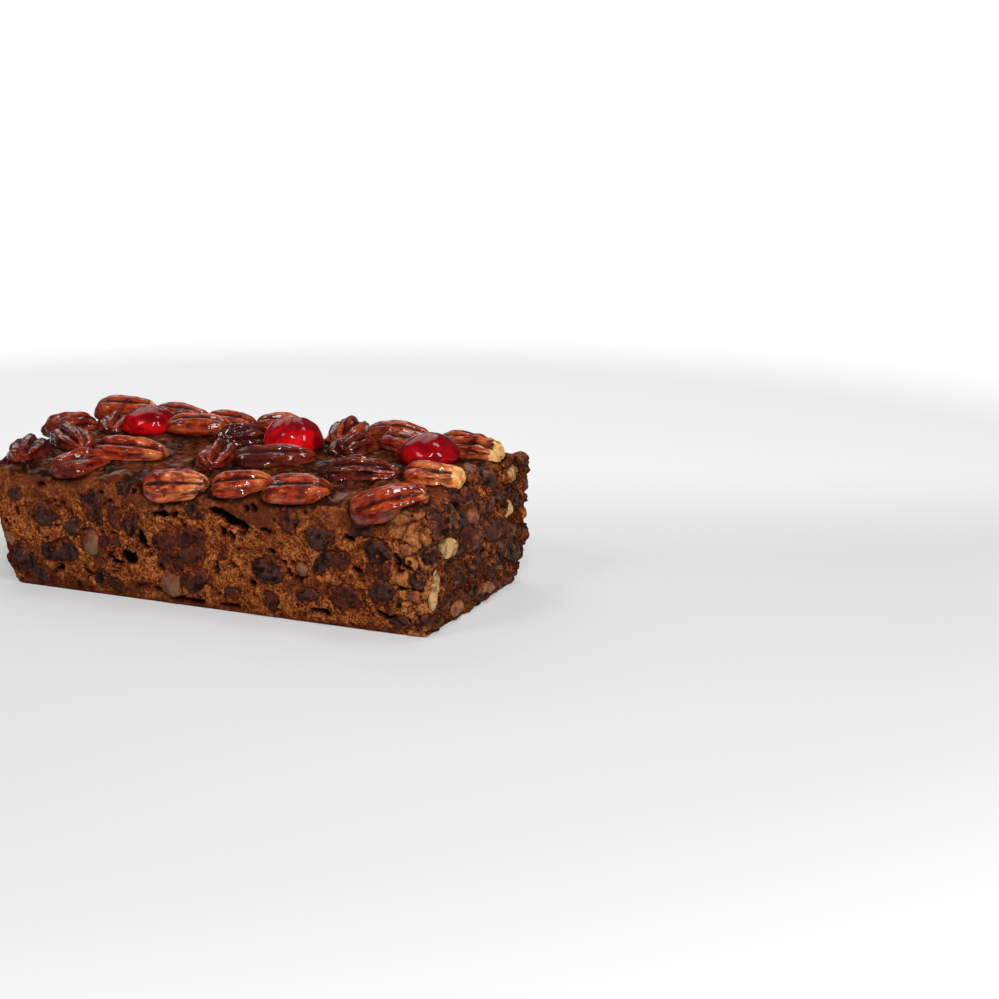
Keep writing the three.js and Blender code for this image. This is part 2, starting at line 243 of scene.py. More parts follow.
def dice(cells, seed):
    """A number from 0 to 1 for each cell, the same every time."""
    value = np.sin(cells @ (127.1, 311.7, 74.7) + seed * 53.3) * 43758.5453
    return value - np.floor(value)


def cloud(co, size, seed=0, octaves=2):
    """Noise at each point, about -1 to 1, with blotches of that size."""
    total = np.zeros(len(co))
    for octave in range(octaves):
        at = co / size * 2**octave
        cell = np.floor(at)
        t = at - cell
        t = t * t * (3.0 - 2.0 * t)
        for corner in np.ndindex(2, 2, 2):
            weight = np.prod(np.where(corner, t, 1.0 - t), axis=1)
            total += weight * (dice(cell + corner, seed + octave) * 2.0 - 1.0) / 1.7**octave
    return total


def scattered(co, size, seed=0):
    """How far each point is from the nearest and the next of points scattered one in a cell."""
    at = co / size
    cell = np.floor(at)
    nearest = np.full(len(co), 9.0)
    second = nearest.copy()
    for corner in np.ndindex(3, 3, 3):
        neighbour = cell + np.array(corner) - 1.0
        spot = neighbour + np.stack([dice(neighbour, seed + n) for n in range(3)], axis=1)
        gap = np.linalg.norm(at - spot, axis=1)
        second = np.minimum(second, np.maximum(gap, nearest))
        nearest = np.minimum(nearest, gap)
    return nearest, second


def shift(obj, way, heights):
    """Moves each point that far along its direction."""
    co, _ = points(obj)
    obj.data.vertices.foreach_set("co", (co + way * heights[:, None]).ravel())
    obj.data.update()


def paint(obj, name, values):
    """Keeps one number per vertex for the materials."""
    attribute = obj.data.attributes.get(name) or obj.data.attributes.new(name, "FLOAT", "POINT")
    attribute.data.foreach_set("value", np.asarray(values, np.float32))


def read(obj, name):
    """The numbers kept under that name."""
    values = np.empty(len(obj.data.vertices), np.float32)
    obj.data.attributes[name].data.foreach_get("value", values)
    return values.astype(float)


def place(obj, matrix):
    """Puts a mesh where the matrix says and leaves the object itself at the origin."""
    obj.data.transform(matrix)
    obj.data.update()


def duplicate(obj, name):
    """A copy with a mesh of its own."""
    copy = bpy.data.objects.new(name, obj.data.copy())
    bpy.context.scene.collection.objects.link(copy)
    return copy


def join(name, pieces):
    """Makes one object of all the pieces."""
    take(*pieces)
    bpy.ops.object.join()
    pieces[0].name = name
    return pieces[0]


def discard(obj):
    bpy.data.objects.remove(obj)


def dress(obj, shader, slot, *nodes):
    """Gives a finished piece its material, and its place in the part."""
    obj.data.materials.clear()
    obj.data.materials.append(shader.material)
    take(obj)
    bpy.ops.object.shade_smooth()
    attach(obj, "root")
    if nodes:
        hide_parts(*nodes)


# Materials.


class Value:
    """A socket whose arithmetic adds Math nodes."""

    def __init__(self, shader, socket):
        self.shader = shader
        self.socket = socket

    def math(self, operation, first, second):
        return self.shader.add("ShaderNodeMath", {0: first, 1: second}, operation=operation)

    def __add__(self, other):
        return self.math("ADD", self, other)

    __radd__ = __add__

    def __sub__(self, other):
        return self.math("SUBTRACT", self, other)

    def __rsub__(self, other):
        return self.math("SUBTRACT", other, self)

    def __mul__(self, other):
        return self.math("MULTIPLY", self, other)

    __rmul__ = __mul__

    def __pow__(self, other):
        return self.math("POWER", self, other)

    def between(self, low, high):
        """0 below low and 1 above high, turning smoothly."""
        sockets = {"Value": self, "From Min": low, "From Max": high}
        return self.shader.add("ShaderNodeMapRange", sockets, interpolation_type="SMOOTHSTEP")

    def limited(self):
        return self.math("MAXIMUM", self.math("MINIMUM", self, 1.0), 0.0)


class Shader:
    """One material, built node by node."""

    def __init__(self, name):
        self.material = bpy.data.materials.new(name)
        self.material.use_nodes = True
        self.tree = self.material.node_tree
        self.tree.nodes.clear()
        self.coordinates = self.add("ShaderNodeTexCoord", {}, output="Object")

    def add(self, kind, sockets, output=0, **settings):
        """A node of that kind, with its settings and its inputs, whether values or links."""
        node = self.tree.nodes.new(kind)
        for name, value in settings.items():
            setattr(node, name, value)
        for key, value in sockets.items():
            if isinstance(value, Value):
                self.tree.links.new(value.socket, node.inputs[key])
            else:
                node.inputs[key].default_value = value
        return Value(self, None if output is None else node.outputs[output])

    def noise(self, size, detail=3.0, rough=0.55, distortion=0.0, stretch=(1.0, 1.0, 1.0), offset=0.0):
        """Noise from 0 to 1 with blotches of that size in metres."""
        at = self.add(
            "ShaderNodeMapping",
            {"Vector": self.coordinates, "Scale": stretch, "Location": (offset, offset, offset)},
        )
        sockets = {
            "Vector": at, "Scale": 1.0 / size, "Detail": detail, "Roughness": rough, "Distortion": distortion
        }
        return self.add("ShaderNodeTexNoise", sockets)

    def painted(self, name):
        """The numbers that paint kept on the mesh under that name."""
        return self.add("ShaderNodeAttribute", {}, output="Fac", attribute_name=name)

    def mix(self, factor, first, second):
        """The first colour where the factor is 0 and the second where it is 1."""
        first, second = (v if isinstance(v, Value) else (*v, 1.0) for v in (first, second))
        return self.add("ShaderNodeMix", {0: factor, 6: first, 7: second}, output=2, data_type="RGBA")

    def bump(self, height, distance, strength=1.0, normal=None):
        """Normals of a relief that many metres high, on top of another one if there is any."""
        sockets = {"Height": height, "Distance": distance, "Strength": strength}
        if normal:
            sockets["Normal"] = normal
        return self.add("ShaderNodeBump", sockets)

    def finish(self, **sockets):
        """Adds the surface, whose sockets are named in small letters, and the output."""
        names = {key.replace("_", " ").title().replace("Ior", "IOR"): v for key, v in sockets.items()}
        surface = self.add("ShaderNodeBsdfPrincipled", names)
        self.add("ShaderNodeOutputMaterial", {"Surface": surface}, output=None)
        return self


def crumb_material(look):
    """Open crumb, darker where fruit stained it, dense across the cut, glazed on top, with painted shade in
    its pores and holes, beside the toppings and along the bottom edge.
    """
    m = Shader("crumb")
    glaze = m.painted("glaze")
    cut = m.painted("sliced")
    hollow_shade = m.painted("hollow_shade")
    corner = m.painted("corner")
    stain = m.painted("stain")
    pore_shade = m.painted("pore_shade")
    patches = m.noise(0.010, 4.0, 0.6, 0.6)
    grain = m.noise(0.0010, 3.0, 0.75).between(0.34, 0.66)
    clots = m.noise(0.0024, 3.0, 0.6, 0.8, offset=3.0)
    # Lighter crumb by grain and patches; as painted shade, darker in the pores and lighter on the peaks.
    bright = grain * 1.3 + clots * 1.0 + patches * 0.7 + corner * 0.3 - pore_shade * 1.5 - 1.35
    base = m.mix(bright.limited(), look.middle, look.light)
    base = m.mix((1.0 - grain) * 0.6, base, look.dark)
    moist = (stain * 1.1 + patches.between(0.5, 0.38) * 0.4 + (clots - 0.5) * 1.4) * (1.0 - corner * 0.7)
    base = m.mix(moist.between(0.15, 0.95) * 0.9, base, look.dark)
    # Painted shade in the pores.
    base = m.mix((pore_shade * 1.5 + 0.45 - grain).between(0.05, 0.75) * 0.85, base, look.hollow_shade)
    dense = m.noise(0.0065, 3.0, 0.55, 0.8, offset=7.0)
    fibres = m.mix((grain * 0.7 + clots - 0.65).limited(), look.sliced, look.torn)
    sliced = m.mix(dense.between(0.5, 0.6), fibres, base)
    base = m.mix(cut * (1.0 - corner * 0.7), base, sliced)
    base = m.mix((m.painted("crust") + (clots - 0.5) * 1.6).limited() * 0.65, base, look.crust)
    syrup = m.noise(0.011, 3.0, 0.6, 0.5, offset=1.0) + (clots - 0.5) * 0.3
    base = m.mix(glaze, base, m.mix(syrup.between(0.4, 0.68), look.glaze, look.syrup))
    # Painted shade in the holes and round the rims of the bared fruit.
    base = m.mix(hollow_shade * (1.0 - glaze * 0.7), base, look.hollow_shade)
    # Painted shade on the crust right beside the nuts and cherries.
    base = m.mix(m.painted("contact_shade") * 0.95, base, look.topping_shade)
    # Painted shade along the bottom edge, on a bottom crust baked darker; left off the cut and eased at its
    # corner.
    base = m.mix(m.painted("underside") * (1.0 - cut) * (1.0 - corner * 0.7) * 0.75, base, look.dark)
    blocks = (corner * (0.35 + grain * 0.5) - pore_shade * 0.8 - hollow_shade * 2.0).limited()
    base = m.mix(blocks * 0.8, base, look.broken)
    fine = m.noise(0.0008, 3.0, 0.7, offset=5.0)
    crumbly = m.bump((fine + clots * 0.8) * (1.0 - glaze * 0.9), 0.0012, 1.0)
    ripple = m.bump(m.noise(0.0035, 3.0, 0.5, 0.5, offset=2.0) * glaze, 0.0009, 0.8, crumbly)
    rough = 0.8 - cut * 0.15
    pools = m.noise(0.007, 3.0, 0.6, 1.0, offset=8.0).between(0.45, 0.62)
    wet = glaze * (pools * 0.5 + 0.03) * (1.0 - m.painted("contact_shade") * 0.85)
    return m.finish(
        base_color=base,
        roughness=(rough * (1.0 - glaze) + glaze * 0.4).limited(),
        specular_ior_level=0.0,
        coat_weight=(wet + m.painted("crust") * 0.1 + cut * dense.between(0.5, 0.4) * 0.1).limited(),
        coat_roughness=0.16,
        coat_ior=1.25,
        normal=ripple,
    )


def dusted(m, base, crumb):
    """Crumb that clings to a piece of fruit along its rim."""
    specks = m.noise(0.0013, 3.0, 0.65, 0.5, offset=6.0)
    veil = m.noise(0.004, 3.0, 0.6, 0.8, offset=12.0)
    cling = (m.painted("edge") * 1.3 + (specks - 0.5) * 2.8 + (veil - 0.5) * 1.6).between(0.35, 0.85)
    return m.mix(cling, base, m.mix(specks.between(0.45, 0.7), crumb.dark, crumb.middle))


def dried_material(name, body, ridge, flesh, crumb, gloss, size=0.0022):
    """Wrinkled dried fruit: painted shade deep in its folds, and lighter on its ridges as a painted sheen.
    """
    m = Shader(name)
    folds = m.painted("fold")
    blotch = m.noise(size * 2.2, 3.0, 0.6, 0.5)
    base = m.mix(m.noise(0.006, 2.0, 0.5, 0.6, offset=8.0).between(0.5, 0.68) * 0.75, body, flesh)
    # Painted sheen: lighter colour on the ridges.
    base = m.mix((folds * 1.3 + blotch * 1.2 - 1.1).limited(), base, ridge)
    juicy = m.noise(0.0038, 3.0, 0.6, 0.8, offset=9.0)
    base = m.mix(m.painted("bared") * juicy.between(0.48, 0.66) * 0.6, base, crumb.torn)
    # Painted shade in the folds.
    base = m.mix(folds.between(0.32, 0.1) * 0.8, base, crumb.hollow_shade)
    fine = m.noise(size * 0.45, 3.0, 0.6, 0.4)
    return m.finish(
        base_color=dusted(m, base, crumb),
        roughness=(gloss + blotch * 0.3).limited(),
        specular_ior_level=0.03,
        coat_weight=0.1,
        coat_roughness=0.15,
        coat_ior=1.2,
        normal=m.bump(fine + blotch * 0.8, 0.0009, 0.9),
    )


def nut_material(look, crumb):
    """Brown nut skin, and pale meat where the knife bared it."""
    m = Shader("nut_piece")
    blotch = m.noise(0.0045, 3.0, 0.6, 0.6)
    skin = m.mix(blotch.between(0.4, 0.65), look.nut, look.date_flesh)
    patches = blotch * 0.7 + m.noise(0.0018, 3.0, 0.6) * 0.5
    meat = m.mix(patches.between(0.46, 0.72), look.nut_meat, look.nut)
    return m.finish(
        base_color=dusted(m, m.mix(m.painted("bared"), skin, meat), crumb),
        roughness=0.5,
        specular_ior_level=0.15,
        coat_weight=0.15,
        coat_roughness=0.2,
        normal=m.bump(m.noise(0.0014, 3.0, 0.6), 0.0006, 0.8),
    )


def peel_material(look, crumb):
    """Amber fruit, dull with sugar."""
    m = Shader("candied_fruit")
    base = m.mix(m.noise(0.004, 3.0, 0.55, 0.5).between(0.35, 0.65), look.peel_deep, look.peel)
    return m.finish(
        base_color=dusted(m, base, crumb),
        roughness=0.45,
        specular_ior_level=0.15,
        coat_weight=0.25,
        coat_roughness=0.15,
        normal=m.bump(m.noise(0.0014, 2.0, 0.5), 0.0006, 0.8),
    )


def pecan_material(look):
    """Glazed skin, streaked along the nut, dark in its grooves as painted shade, paler towards one end as
    painted light, and pale where it is rubbed or broken.
    """
    m = Shader("pecan_skin")
    tone = m.painted("tone")
    groove = m.painted("groove")
    cut = m.painted("sliced")
    on_nut = {0: m.painted("along") * 1.3, 1: m.painted("around") * 7.0, 2: tone * 20.0}
    lie = m.add("ShaderNodeCombineXYZ", on_nut)
    streaks = m.add("ShaderNodeTexNoise", {"Vector": lie, "Scale": 1.6, "Detail": 4.0, "Distortion": 0.6})
    blotch = m.noise(0.007, 3.0, 0.6, 0.6, offset=2.0)
    # Painted light: each nut is paler towards one end, as if lit through from the right.
    lit = tone + m.painted("along") * 0.2
    skin = m.mix((lit * 1.7 - 0.05).limited(), look.dark, look.skin)
    skin = m.mix((lit * 2.2 - 1.5 + (blotch - 0.5) * 2.2).limited(), skin, look.pale)
    skin = m.mix(streaks.between(0.54, 0.38) * 0.65, skin, look.dark)
    skin = m.mix(blotch.between(0.5, 0.36) * 0.75, skin, look.dark)
    skin = m.mix((streaks * 0.6 + blotch * 0.6).between(0.62, 0.76) * tone * 0.4, skin, look.pale)
    # Painted shade in the grooves, the lines and the cracks.
    skin = m.mix(groove.between(0.25, 0.9) * 0.9, skin, look.furrow)
    ribs = m.noise(0.0018, 3.0, 0.6, 0.4, stretch=(0.35, 1.4, 0.35), offset=6.0)
    skin = m.mix(cut, skin, m.mix((ribs + blotch * 0.4).between(0.62, 0.82), look.meat, look.pale))
    fine = m.bump(streaks + m.noise(0.0022, 3.0, 0.6, 0.6) * 0.7, 0.0011, 0.9)
    sheen = m.noise(0.004, 2.0, 0.5, 0.8, offset=4.0).between(0.38, 0.6)
    return m.finish(
        base_color=skin,
        roughness=(0.4 + streaks * 0.15 + cut * 0.2).limited(),
        specular_ior_level=0.05,
        coat_weight=((sheen * 0.92 + 0.06) * (1.0 - groove * 0.8) - cut * 0.7).limited(),
        coat_roughness=0.05,
        coat_ior=1.5,
        normal=fine,
    )


def cherry_material(look):
    """Clear red flesh, lit up where the light gathers in it."""
    m = Shader("cherry_flesh")
    depth = m.painted("depth")
    blotch = m.noise(0.006, 3.0, 0.55, 0.6)
    # Painted light: redder where the painted glow is strong.
    glow = (depth * 1.2 + (blotch - 0.5) * 1.6 - 0.35).between(0.0, 1.0)
    base = m.mix(glow, look.deep, look.red)
    return m.finish(
        base_color=base,
        roughness=0.15,
        specular_ior_level=0.05,
        # Painted glow, given off though the cherry is no lamp.
        emission_color=m.mix(glow ** 2.0, (0.0, 0.0, 0.0), look.red),
        emission_strength=0.22,
        coat_weight=0.4,
        coat_roughness=0.03,
        coat_ior=1.33,
        normal=m.bump(m.noise(0.005, 2.0, 0.5, offset=3.0), 0.0003, 0.5),
    )


# Where a pixel of the picture, 999 pixels square, lies on the loaf.


PICTURE = 999.0


def camera_matrix():
    """How the camera stands."""
    look = bpy.context.scene.loaf_stage
    turned = Matrix.Rotation(look.turn, 4, "Z") @ Matrix.Rotation(math.pi / 2 - look.tilt, 4, "X")
    return Matrix.Translation(look.place) @ turned


def pixel_on(tree, x, y):
    """The point of a surface that a pixel of the picture shows, and its normal."""
    camera = camera_matrix()
    focal = bpy.context.scene.loaf_stage.focal / SENSOR * PICTURE
    ray = camera.to_3x3() @ Vector((x - PICTURE / 2, PICTURE / 2 - y, -focal))
    found = tree.ray_cast(camera.translation, ray.normalized())
    if found[0] is None:
        raise ValueError(f"pixel {x}, {y} shows nothing of the loaf")
    return found[0], found[1]


def surface_tree(obj):
    """The object's surface, to be searched for nearest points and for hits."""
    mesh = bmesh.new()
    mesh.from_mesh(obj.data)
    tree = BVHTree.FromBMesh(mesh)
    mesh.free()
    return tree


# Fruit and nuts that show on the front and the cut, as boxes of pixels: left, right, top, bottom.
SEEN = {
    "raisin": [
        (34, 56, 502, 523), (42, 78, 540, 561), (15, 34, 543, 564), (32, 49, 564, 581),
        (83, 101, 493, 524), (125, 139, 508, 537), (255, 283, 558, 581), (296, 315, 589, 602),
        (309, 334, 527, 546), (366, 388, 540, 562), (371, 392, 582, 604), (392, 408, 617, 628),
        (8, 18, 488, 501), (97, 107, 570, 585), (480, 497, 470, 488), (444, 460, 509, 529),
        (506, 521, 521, 539), (448, 467, 560, 590), (478, 500, 557, 572), (471, 486, 580, 594),
        (411, 426, 571, 588), (497, 510, 484, 499), (426, 438, 504, 516), (503, 519, 544, 556),
        (330, 344, 594, 606), (225, 241, 588, 599),
    ],
    "date": [
        (108, 121, 503, 528), (98, 119, 536, 551), (153, 177, 530, 551), (173, 201, 528, 547),
        (160, 183, 549, 569), (184, 203, 546, 569), (181, 203, 567, 589),
        (280, 297, 508, 533), (330, 348, 548, 568), (328, 363, 586, 607), (219, 228, 546, 561),
        (366, 388, 564, 578), (478, 502, 518, 539), (440, 456, 480, 500), (462, 480, 528, 552),
        (462, 476, 488, 506), (430, 446, 520, 538), (492, 516, 572, 584), (426, 440, 616, 630),
        (478, 494, 500, 514), (352, 372, 520, 536), (440, 452, 596, 612),
    ],
    "nut": [
        (80, 97, 530, 555), (163, 180, 572, 596), (440, 454, 541, 556), (431, 439, 572, 610),
        (506, 518, 464, 479), (503, 512, 501, 516), (463, 477, 460, 471), (296, 306, 564, 576),
    ],
    "peel": [(398, 412, 544, 556), (469, 479, 507, 524), (408, 420, 592, 604), (5, 13, 531, 544),
             (482, 494, 583, 592)],
}
# Dark bits that lie in the glaze between the toppings: the middle of each, in pixels.
BITS = [(186, 443), (174, 446), (330, 463), (342, 470), (205, 436), (309, 462), (345, 482), (112, 470),
        (60, 452), (403, 466), (318, 450), (122, 488), (222, 440)]
# Large air holes on the front: both ends in pixels, then the width in millimetres.
HOLES = [
    (152, 514, 175, 513, 2.1), (213, 511, 226, 516, 2.5), (228, 519, 245, 528, 2.5),
    (139, 534, 145, 540, 2.6), (127, 556, 134, 557, 4.4), (113, 563, 119, 565, 2.2),
    (86, 571, 92, 574, 2.2), (38, 484, 42, 484, 1.6), (221, 531, 223, 537, 2.2),
    (268, 551, 271, 553, 1.8), (230, 565, 238, 568, 1.8), (214, 569, 216, 573, 1.8),
    (284, 571, 288, 573, 2.2), (250, 583, 253, 585, 1.8), (158, 566, 168, 568, 2.4),
    (155, 589, 160, 590, 1.6), (251, 505, 253, 509, 2.4), (100, 573, 104, 582, 1.6),
    (15, 510, 17, 512, 1.8), (173, 599, 202, 603, 2.6), (222, 606, 236, 608, 2.2),
    (346, 538, 352, 541, 1.8), (400, 589, 421, 590, 1.4), (394, 556, 397, 572, 1.4),
    (312, 611, 330, 614, 2.0), (355, 570, 360, 574, 1.6), (392, 620, 406, 623, 2.6),
    (402, 566, 412, 570, 1.3), (110, 503, 112, 512, 1.6), (262, 530, 268, 533, 1.5),
    (190, 545, 192, 548, 1.5), (376, 612, 388, 619, 2.0),
]

# How each kind is set: its thickness as a share of its smaller side, then in millimetres how far it
# stands out of the crumb and how strongly it is wrinkled.
SETTING = {
    "raisin": (0.42, 0.4, 1.7),
    "date": (0.36, 0.3, 1.6),
    "nut": (0.4, 0.35, 0.8),
    "peel": (0.4, 0.3, 0.8),
}
# How many of each kind are scattered on a face: along, up and facing, then the counts.
SCATTER = [
    ("front", (-1, 0), {"raisin": 3, "date": 2, "nut": 0, "peel": 0}),
    ("back", (1, 0), {"raisin": 19, "date": 14, "nut": 4, "peel": 3}),
    ("baked", (0, -1), {"raisin": 12, "date": 8, "nut": 2, "peel": 2}),
    ("cut", (0, 1), {"raisin": 5, "date": 5, "nut": 0, "peel": 2}),
]
# How many lumpy balls all the pieces of fruit are copied from.
STARTS = 4
# How wide and high a scattered piece and a bit in the glaze are, in millimetres.
SCATTERED_SIZE = ((6, 13), (4.5, 9))
BIT_SIZE = ((5, 8), (4, 5.5))
BIT_PROUD = 0.7


def blob(seed):
    """A lumpy ball one metre across, to be scaled to a piece of fruit."""
    deselect()
    bpy.ops.mesh.primitive_ico_sphere_add(subdivisions=2, radius=0.56)
    ball = bpy.context.object
    ball.name = "fruit_start"
    with editing(ball):
        bpy.ops.mesh.select_all(action="SELECT")
        bpy.ops.transform.vertex_random(offset=0.11, uniform=1.0, normal=0.0, seed=seed)
    modify(ball, "SUBSURF", levels=2, render_levels=2)
    return ball


class LOAF_OT_body(bpy.types.Operator):
    """Takes the loaf's shape over from its solid and gives it an even, fine surface"""

    bl_idname = "loaf.body"
    bl_label = "Loaf body"

    def execute(self, context):
        look = context.scene.loaf_crumb
        loaf = duplicate(frame["nodes"]["cake"], "crumb")
        loaf.data.materials.clear()
        with editing(loaf):
            bpy.ops.mesh.select_all(action="SELECT")
            bpy.ops.mesh.remove_doubles(threshold=1e-6)
        modify(loaf, "REMESH", mode="VOXEL", voxel_size=look.cell, adaptivity=0.0)
        modify(loaf, "SMOOTH", factor=0.5, iterations=22)
        return {"FINISHED"}


def spot_matrix(point, normal, along, lean=0.0):
    """Axes for a piece in a surface: X along it, Y up it and Z out of it."""
    out = normal.normalized()
    x_axis = (along - out * along.dot(out)).normalized()
    y_axis = out.cross(x_axis)
    turned = Matrix((x_axis, y_axis, out)).transposed().to_4x4()
    return Matrix.Translation(point) @ turned @ Matrix.Rotation(lean, 4, "Z")


class LOAF_OT_fruit(bpy.types.Operator):
    """Sets raisins, dates, nut pieces and candied fruit in the crumb"""

    bl_idname = "loaf.fruit"
    bl_label = "Fruit and nuts"

    def execute(self, context):
        look = context.scene.loaf_fruit
        crumb = context.scene.loaf_crumb
        self.draw = random.Random(look.seed)
        self.loaf = bpy.data.objects["crumb"]
        self.tree = surface_tree(self.loaf)
        self.balls = [blob(seed) for seed in range(STARTS)]
        self.pieces = {kind: [] for kind in SETTING}
        self.taken = []
        for kind, boxes in SEEN.items():
            for box in boxes:
                self.set_seen(kind, *box)
        for x, y in BITS:
            point, normal = pixel_on(self.tree, x, y)
            size = [self.draw.uniform(*span) * MM for span in BIT_SIZE]
            along = Vector((1, self.draw.uniform(-1, 1), 0))
            self.set_piece("raisin", point, normal, along, size, BIT_PROUD)
        for x0, y0, x1, y1, _ in HOLES:
            middle = pixel_on(self.tree, (x0 + x1) / 2, (y0 + y1) / 2)[0]
            self.taken.append((middle, (x1 - x0) * 0.2 * MM + 2 * MM))
        for face, way, counts in SCATTER:
            for kind, count in counts.items():
                for _ in range(count):
                    self.set_somewhere(kind, Vector((way[1], way[0], 0.0)))
        for ball in self.balls:
            discard(ball)
        names = {"raisin": "raisins", "date": "dates", "nut": "nut_pieces", "peel": "candied_fruit"}
        shaders = {
            "raisin": dried_material("raisin_skin", look.raisin, look.raisin_ridge_sheen, look.date, crumb, 0.35),
            "date": dried_material("date_skin", look.date, look.date_flesh, look.raisin, crumb, 0.4, 0.003),
            "nut": nut_material(look, crumb),
            "peel": peel_material(look, crumb),
        }
        for kind, pieces in self.pieces.items():
            fruit = join(names[kind], pieces)
            wrinkle(fruit, SETTING[kind][2] * MM)
            paint(fruit, "edge", ramp(self.rise(fruit), 0.35 * MM, -0.75 * MM))
            dress(fruit, shaders[kind], "cake")
        return {"FINISHED"}

    def rise(self, fruit):
        """How far each point of the fruit stands out of the loaf."""
        rises = []
        for vertex in fruit.data.vertices:
            near, normal, _, _ = self.tree.find_nearest(vertex.co)
            rises.append((vertex.co - near).dot(normal))
        return np.array(rises)

    def set_seen(self, kind, left, right, top, bottom):
        """Sets a piece where the picture shows one in that box of pixels."""
        across, down = (left + right) / 2, (top + bottom) / 2
        point, normal = pixel_on(self.tree, across, down)
        inset = 0.8  # the box's ends may look past the loaf's edge
        ends = [
            pixel_on(self.tree, across + (x - across) * inset, down + (y - down) * inset)[0]
            for x, y in ((left, down), (right, down), (across, top), (across, bottom))
        ]
        size = ((ends[1] - ends[0]).length / inset, (ends[3] - ends[2]).length / inset)
        self.set_piece(kind, point, normal, ends[1] - ends[0], size)

    def set_somewhere(self, kind, way):
        """Finds a free place on the face that looks that way, or gives up after many tries."""
        low, high = (np.array(v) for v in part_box("cake"))
        tries, margin, outside = 60, 5 * MM, 0.2
        for _ in range(tries):
            size = [self.draw.uniform(*span) * MM for span in SCATTERED_SIZE]
            start = Vector(self.draw.uniform(a + margin, b - margin) for a, b in zip(low, high))
            start = Vector(start[i] if way[i] == 0 else way[i] * outside for i in range(3))
            start.z = self.draw.uniform(4 * MM, high[2] - 10 * MM)
            point, normal, _, _ = self.tree.ray_cast(start, -way)
            if point is None:
                continue
            reach = sum(size) / 4
            if all((point - other).length > 0.95 * (reach + span) for other, span in self.taken):
                along = Vector((way.y, way.x, 0.0)) + Vector((0, 0, self.draw.uniform(-1.5, 1.5)))
                self.set_piece(kind, point, normal, along, size)
                return

    def set_piece(self, kind, point, normal, along, size, proud=None):
        """Sets a copy of one of the balls in the surface, its length along that direction."""
        thick, out, _ = SETTING[kind]
        on_cut = normal.x > 0.6
        out = (out + 0.2 * on_cut if proud is None else proud) * MM
        thick = max(thick * min(size), 2.4 * MM)
        piece = duplicate(self.draw.choice(self.balls), kind)
        scale = Matrix.Diagonal((size[0] * 1.08, size[1] * 1.08, thick, 1.0))
        lean = self.draw.uniform(-0.15, 0.15)
        inward = Matrix.Translation((0.0, 0.0, out - thick / 2))
        flip = Matrix.Rotation(self.draw.choice((0.0, math.pi)), 4, "Z")
        place(piece, spot_matrix(point, normal, along, lean) @ inward @ scale @ flip)
        paint(piece, "bared", np.full(len(piece.data.vertices), float(on_cut)))
        self.pieces[kind].append(piece)
        self.taken.append((point, sum(size) / 4))


def wrinkle(obj, height):
    """Folds of dried fruit, with how deep each point lies kept for the material's painted shade and sheen.
    """
    co, normal = points(obj)
    bent = co + np.stack([cloud(co, 0.005, n) for n in (1, 2, 3)], axis=1) * 1.2 * MM
    fold = 0.7 - 2.0 * np.abs(cloud(bent, 0.0032, 4, 2))
    shift(obj, normal, height * (0.42 * fold + 0.45 * cloud(co, 0.005, 6)))
    co, _ = points(obj)
    shift(obj, np.array((0.0, 0.0, 1.0)), np.maximum(0.2 * MM - co[:, 2], 0.0))
    paint(obj, "fold", np.clip(0.5 + 0.6 * fold, 0.0, 1.0))


# Tone of each pecan's skin, from 0, soaked dark red, to 1, pale, and which of the shapes it has.
TONES = {
    1: (0.46, 1), 2: (0.78, 0), 3: (0.64, 0), 4: (0.6, 2), 5: (0.56, 1), 6: (0.1, 1), 7: (0.2, 3),
    8: (0.66, 0), 9: (0.3, 1), 10: (0.18, 2), 11: (0.22, 3), 12: (0.8, 0), 13: (0.4, 3), 14: (0.3, 1),
    15: (0.6, 2), 16: (0.06, 3), 17: (0.24, 3), 18: (0.5, 2), 19: (0.74, 3), 20: (0.55, 2), 21: (0.5, 2),
    22: (0.55, 0), 23: (0.6, 0), 24: (0.46, 1), 25: (0.5, 2), 26: (0.5, 0),
}
# Nuts with a broken, bared end: where it starts, as a share of the half length from the middle.
BROKEN = {12: 0.7, 19: 0.74, 20: 0.84}
# The shapes: depth of the grooves and of the wrinkles, against the usual ones.
SHAPES = [(1.0, 0.6), (1.3, 0.9), (0.6, 0.5), (1.25, 1.5)]
# What runs along a nut, by its angle in degrees round it: two grooves and a furrow above each rim, with
# their depths, between shallower ones; and the thin lines of the skin.
GROOVES = [(60, 0.3), (120, 0.3), (75, 0.1), (105, 0.1), (45, 0.07), (135, 0.07), (15, 0.1), (165, 0.1)]
LINES = (80, 98, 40, 141, 24, 157)


